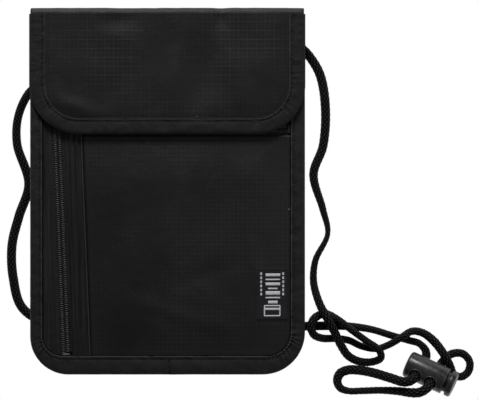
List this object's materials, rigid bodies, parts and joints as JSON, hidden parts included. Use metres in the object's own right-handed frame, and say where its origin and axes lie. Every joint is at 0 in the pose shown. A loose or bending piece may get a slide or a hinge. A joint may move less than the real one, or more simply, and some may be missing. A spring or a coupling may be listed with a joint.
{
  "type": "neck pouch wallet",
  "caption": "Flat fabric neck pouch with a fold-over flap, zip pockets, a long braided neck cord and a spring cord lock.",
  "frame": {"origin": "middle of the pouch at the surface it lies on, under the middle of its back", "axes": "+Z out of the front face, +Y up the pouch towards the flap's fold, +X to the right"},
  "size_m": [0.2438, 0.2015, 0.023],
  "materials": {
    "ripstop": "black ripstop nylon with a fine raised grid and a soft sheen",
    "lining": "plain black taffeta",
    "shield": "grey metallised shielding cloth",
    "binding": "black ribbed binding tape",
    "zip_tape": "black woven zip tape",
    "zip_coil": "black nylon coil",
    "zip_metal": "black enamelled zinc",
    "touch_tape": "black touch fastener tape",
    "label": "black woven label with white marks",
    "cord": "dark grey braided nylon cord",
    "lock_plastic": "dark grey moulded nylon",
    "spring_steel": "bright spring wire"
  },
  "bodies": {
    "pouch": {"back_panel": "ripstop", "shielding_lining": "shield", "pocket_divider": "lining", "front_panel": "ripstop", "upper_front_panel": "ripstop", "mouth_binding": "binding", "zip_side_strip": "ripstop", "body_binding": "binding", "woven_label": "label", "loop_patch": "touch_tape", "side_zip_tape_left": "zip_tape", "side_zip_tape_right": "zip_tape", "side_zip_coil_left": "zip_coil", "side_zip_coil_right": "zip_coil", "side_zip_top_stop": "zip_metal", "side_zip_bottom_stop": "zip_metal", "top_zip_tape_upper": "zip_tape", "top_zip_tape_lower": "zip_tape", "top_zip_coil_upper": "zip_coil", "top_zip_coil_lower": "zip_coil", "top_zip_left_stop": "zip_metal", "top_zip_right_stop": "zip_metal", "flap_fold": "ripstop", "cord_anchor_left": "binding", "cord_anchor_right": "binding", "neck_cord": "cord", "lock_barrel": "lock_plastic", "lock_spring": "spring_steel"},
    "flap": {"flap_panel": "ripstop", "flap_lining": "lining", "flap_binding": "binding", "hook_patch": "touch_tape"},
    "side_slider": {"side_zip_slider": "zip_metal"},
    "side_pull": {"side_zip_pull": "zip_metal"},
    "top_slider": {"top_zip_slider": "zip_metal"},
    "top_pull": {"top_zip_pull": "zip_metal"},
    "lock_button": {"lock_plunger": "lock_plastic"}
  },
  "joints": [
    {"name": "flap_open", "type": "hinge", "parent": "pouch", "child": "flap", "pos_m": [0, 0.09195, 0.00865], "axis": [-1, 0, 0], "range_deg": [0, 175], "deforming": ["flap_fold"]},
    {"name": "side_zip_run", "type": "slide", "parent": "pouch", "child": "side_slider", "axis": [0.0401, -0.9992, 0], "range_m": [0, 0.126]},
    {"name": "side_pull_swing", "type": "hinge", "parent": "side_slider", "child": "side_pull", "pos_m": [-0.05825, 0.05395, 0.00965], "axis": [0, 0, 1], "range_deg": [-20, 20]},
    {"name": "top_zip_run", "type": "slide", "parent": "pouch", "child": "top_slider", "axis": [1, 0, 0], "range_m": [0, 0.084]},
    {"name": "top_pull_swing", "type": "hinge", "parent": "top_slider", "child": "top_pull", "pos_m": [-0.036, 0.0325, 0.00965], "axis": [0, 0, 1], "range_deg": [-20, 20]},
    {"name": "button_press", "type": "slide", "parent": "pouch", "child": "lock_button", "axis": [-0.8801, 0.398, -0.2588], "range_m": [0, 0.0012], "stiffness_N_per_m": 400, "springref_m": -0.001, "deforming": ["lock_spring"]}
  ]
}
